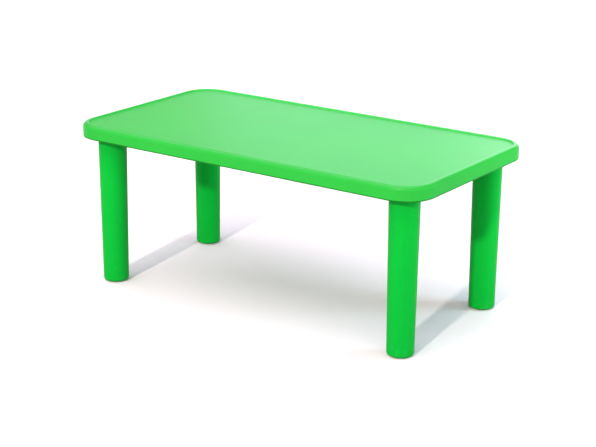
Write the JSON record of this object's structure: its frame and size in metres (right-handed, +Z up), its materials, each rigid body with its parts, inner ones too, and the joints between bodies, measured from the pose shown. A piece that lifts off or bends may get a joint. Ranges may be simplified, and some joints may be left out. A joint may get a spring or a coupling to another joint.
{
  "type": "child's play table",
  "caption": "Low rectangular child's table in moulded plastic, with rounded corners, a raised rim and tapered round legs that pull out of sockets under the top.",
  "frame": {"origin": "on the floor under the middle of the table", "axes": "+X along the long side, towards the right seen from the front; +Y towards the back; +Z up"},
  "size_m": [1.2, 0.63, 0.5],
  "materials": {
    "top_plastic": "satin moulded polyethylene, bright green",
    "leg_plastic": "satin moulded polyethylene, bright green",
    "foot_rubber": "dark soft rubber",
    "tube_steel": "zinc-plated steel tube",
    "plug_plastic": "black moulded plastic",
    "strap_steel": "zinc-plated pressed steel",
    "screw_steel": "zinc-plated steel"
  },
  "bodies": {
    "tabletop": {"tabletop": "top_plastic", "stiffener_tube_front": "tube_steel", "stiffener_tube_back": "tube_steel", "tube_plug_front_left": "plug_plastic", "tube_plug_front_right": "plug_plastic", "tube_plug_back_left": "plug_plastic", "tube_plug_back_right": "plug_plastic", "tube_strap_front_left": "strap_steel", "tube_strap_front_middle": "strap_steel", "tube_strap_front_right": "strap_steel", "tube_strap_back_left": "strap_steel", "tube_strap_back_middle": "strap_steel", "tube_strap_back_right": "strap_steel", "strap_screws": "screw_steel"},
    "leg_front_left": {"leg_front_left": "leg_plastic", "foot_pad_front_left": "foot_rubber"},
    "leg_front_right": {"leg_front_right": "leg_plastic", "foot_pad_front_right": "foot_rubber"},
    "leg_back_left": {"leg_back_left": "leg_plastic", "foot_pad_back_left": "foot_rubber"},
    "leg_back_right": {"leg_back_right": "leg_plastic", "foot_pad_back_right": "foot_rubber"}
  },
  "joints": [
    {"name": "leg_front_left_pull", "type": "slide", "parent": "tabletop", "child": "leg_front_left", "axis": [0, 0, -1], "range_m": [0, 0.04]},
    {"name": "leg_front_right_pull", "type": "slide", "parent": "tabletop", "child": "leg_front_right", "axis": [0, 0, -1], "range_m": [0, 0.04]},
    {"name": "leg_back_left_pull", "type": "slide", "parent": "tabletop", "child": "leg_back_left", "axis": [0, 0, -1], "range_m": [0, 0.04]},
    {"name": "leg_back_right_pull", "type": "slide", "parent": "tabletop", "child": "leg_back_right", "axis": [0, 0, -1], "range_m": [0, 0.04]}
  ]
}
